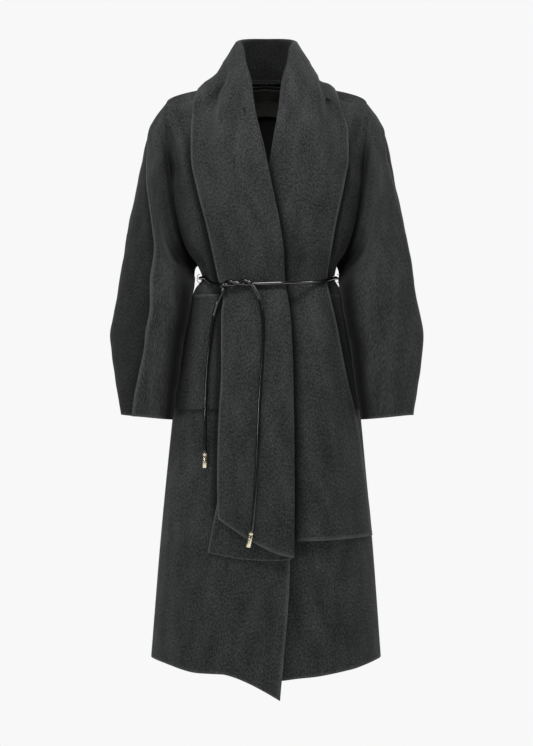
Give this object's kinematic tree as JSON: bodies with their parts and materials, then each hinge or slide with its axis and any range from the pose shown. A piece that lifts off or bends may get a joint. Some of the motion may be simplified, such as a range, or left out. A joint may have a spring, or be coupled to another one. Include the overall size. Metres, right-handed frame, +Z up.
{
  "type": "wrap coat",
  "caption": "Long charcoal wrap coat with a deep shawl collar that ends in two scarf panels, patch pockets and a knotted leather cord belt.",
  "frame": {"origin": "base of the neck between the shoulders, on the line where the coat is carried", "axes": "+Z up along the body, +Y to the back, +X to the wearer's left; the front faces -Y"},
  "size_m": [0.6191, 0.3305, 1.3113],
  "materials": {
    "wool": "brushed charcoal melange, matt",
    "satin": "dark satin",
    "leather": "smooth black, semi-gloss",
    "pale_gold": "polished pale gold plate",
    "thread": "matt thread"
  },
  "bodies": {
    "root": {"back": "wool", "front_right": "wool", "front_left": "wool", "sleeve_right_front": "wool", "sleeve_right_back": "wool", "sleeve_left_front": "wool", "sleeve_left_back": "wool", "collar_right": "wool", "collar_left": "wool", "scarf_right_under": "wool", "pocket_right": "wool", "pocket_left": "wool", "neck_patch": "satin", "hanger_loop": "wool", "belt": "leather", "belt_end_long": "leather", "belt_end_short": "leather", "tip_long": "pale_gold", "tip_short": "pale_gold", "belt_loop_right": "thread", "belt_loop_left": "thread"}
  },
  "joints": []
}
